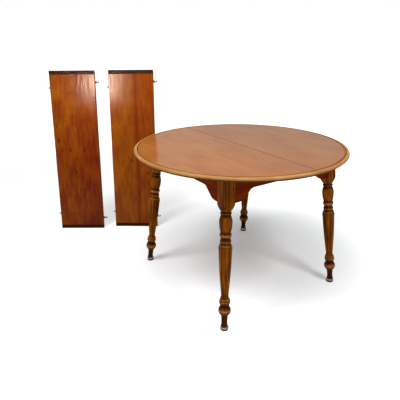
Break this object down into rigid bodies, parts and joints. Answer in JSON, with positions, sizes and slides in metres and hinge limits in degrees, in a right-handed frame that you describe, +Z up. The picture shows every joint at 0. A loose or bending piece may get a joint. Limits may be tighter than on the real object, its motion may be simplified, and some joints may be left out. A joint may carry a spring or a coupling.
{
  "type": "extension dining table",
  "caption": "Round pull-apart dining table on splayed turned legs, with rack-and-pinion slides and loose drop-in leaves that carry pins and swinging hooks.",
  "frame": {"origin": "centre of the bounding box of table and standing leaves, on the floor", "axes": "+X along the seam of the top towards its right end, +Y from half A to half B along the pull, +Z up"},
  "size_m": [1.7935, 1.2197, 1.0553],
  "materials": {
    "top_veneer": "clear gloss lacquer over cherry-coloured veneer",
    "rim_wood": "clear gloss lacquer over golden wood",
    "apron_wood": "dark reddish stain, satin lacquer",
    "leg_wood": "brown stain wiped back from the high parts, satin lacquer",
    "leaf_wood": "clear gloss lacquer over cherry-coloured veneer",
    "leaf_end_wood": "dark brown stain, gloss lacquer",
    "frame_wood": "bare planed hardwood",
    "glide_nickel": "bright nickel plate",
    "plain_steel": "zinc plated",
    "hook_steel": "darkened steel",
    "slide_nylon": "natural nylon"
  },
  "bodies": {
    "middle_slides": {"brace_screws": "plain_steel", "middle_rail_left": "frame_wood", "middle_rail_right": "frame_wood", "pinion_axles": "plain_steel", "slide_braces": "frame_wood"},
    "half_a": {"corner_blocks_a": "frame_wood", "glides_a": "glide_nickel", "hanger_bolts_a": "plain_steel", "leg_a_left": "leg_wood", "leg_a_right": "leg_wood", "locating_pins": "plain_steel", "lock_studs": "hook_steel", "long_apron_a": "apron_wood", "rack_a_left": "slide_nylon", "rack_a_right": "slide_nylon", "rail_screws_a": "plain_steel", "rim_moulding_a": "rim_wood", "short_apron_a_left": "apron_wood", "short_apron_a_right": "apron_wood", "slide_rail_a_left": "frame_wood", "slide_rail_a_right": "frame_wood", "top_field_a": "top_veneer", "wing_nuts_a": "plain_steel"},
    "half_b": {"corner_blocks_b": "frame_wood", "glides_b": "glide_nickel", "hanger_bolts_b": "plain_steel", "leg_b_left": "leg_wood", "leg_b_right": "leg_wood", "lock_hook_bases": "hook_steel", "long_apron_b": "apron_wood", "rack_b_left": "slide_nylon", "rack_b_right": "slide_nylon", "rail_screws_b": "plain_steel", "rim_moulding_b": "rim_wood", "short_apron_b_left": "apron_wood", "short_apron_b_right": "apron_wood", "slide_rail_b_left": "frame_wood", "slide_rail_b_right": "frame_wood", "top_field_b": "top_veneer", "wing_nuts_b": "plain_steel"},
    "leaf_1": {"leaf_1_end_mouldings": "leaf_end_wood", "leaf_1_hook_bases": "hook_steel", "leaf_1_panel": "leaf_wood", "leaf_1_pins": "plain_steel", "leaf_1_studs": "hook_steel"},
    "leaf_1_hook_lower": {"leaf_1_hook_lower": "hook_steel"},
    "leaf_1_hook_upper": {"leaf_1_hook_upper": "hook_steel"},
    "leaf_2": {"leaf_2_end_mouldings": "leaf_end_wood", "leaf_2_hook_bases": "hook_steel", "leaf_2_panel": "leaf_wood", "leaf_2_pins": "plain_steel", "leaf_2_studs": "hook_steel"},
    "leaf_2_hook_lower": {"leaf_2_hook_lower": "hook_steel"},
    "leaf_2_hook_upper": {"leaf_2_hook_upper": "hook_steel"},
    "lock_hook_left": {"lock_hook_left": "hook_steel"},
    "lock_hook_right": {"lock_hook_right": "hook_steel"},
    "pinion_left": {"pinion_left": "slide_nylon"},
    "pinion_right": {"pinion_right": "slide_nylon"}
  },
  "joints": [
    {"name": "half_b_slide", "type": "slide", "parent": "middle_slides", "child": "half_b", "axis": [0, 1, 0], "range_m": [0, 0.297]},
    {"name": "middle_slide", "type": "slide", "parent": "half_a", "child": "middle_slides", "axis": [0, 1, 0], "range_m": [0, 0.297]},
    {"name": "pinion_left_turn", "type": "hinge", "parent": "middle_slides", "child": "pinion_left", "pos_m": [0.2083, 0.0765, 0.6697], "axis": [0, 0, 1], "range_deg": [-975, 0]},
    {"name": "pinion_right_turn", "type": "hinge", "parent": "middle_slides", "child": "pinion_right", "pos_m": [0.5183, 0.0765, 0.6697], "axis": [0, 0, 1], "range_deg": [-975, 0]},
    {"name": "lock_hook_left_swing", "type": "hinge", "parent": "half_b", "child": "lock_hook_left", "pos_m": [-0.0967, 0.1018, 0.7162], "axis": [0, 0, 1], "range_deg": [0, 90]},
    {"name": "lock_hook_right_swing", "type": "hinge", "parent": "half_b", "child": "lock_hook_right", "pos_m": [0.8233, 0.1018, 0.7162], "axis": [0, 0, 1], "range_deg": [0, 90]},
    {"name": "leaf_1_lift", "type": "slide", "parent": "half_a", "child": "leaf_1", "axis": [0, 0, 1], "range_m": [0, 0.8]},
    {"name": "leaf_1_hook_upper_swing", "type": "hinge", "parent": "leaf_1", "child": "leaf_1_hook_upper", "pos_m": [-0.74231, -0.28995, 0.98032], "axis": [0.8245, -0.5457, 0.1495], "range_deg": [-90, 0]},
    {"name": "leaf_1_hook_lower_swing", "type": "hinge", "parent": "leaf_1", "child": "leaf_1_hook_lower", "pos_m": [-0.62759, -0.36589, 0.07066], "axis": [0.8245, -0.5457, 0.1495], "range_deg": [-90, 0]},
    {"name": "leaf_2_lift", "type": "slide", "parent": "half_a", "child": "leaf_2", "axis": [0, 0, 1], "range_m": [0, 0.8]},
    {"name": "leaf_2_hook_upper_swing", "type": "hinge", "parent": "leaf_2", "child": "leaf_2_hook_upper", "pos_m": [-0.55519, 0.04021, 0.98032], "axis": [0.8158, -0.5586, 0.1495], "range_deg": [-90, 0]},
    {"name": "leaf_2_hook_lower_swing", "type": "hinge", "parent": "leaf_2", "child": "leaf_2_hook_lower", "pos_m": [-0.44168, -0.03751, 0.07066], "axis": [0.8158, -0.5586, 0.1495], "range_deg": [-90, 0]}
  ],
  "couplings": [
    {"joint": "middle_slide", "follows": "half_b_slide", "ratio": 1},
    {"joint": "pinion_left_turn", "follows": "half_b_slide", "rad_per_m": -57.143},
    {"joint": "pinion_right_turn", "follows": "half_b_slide", "rad_per_m": -57.143}
  ]
}
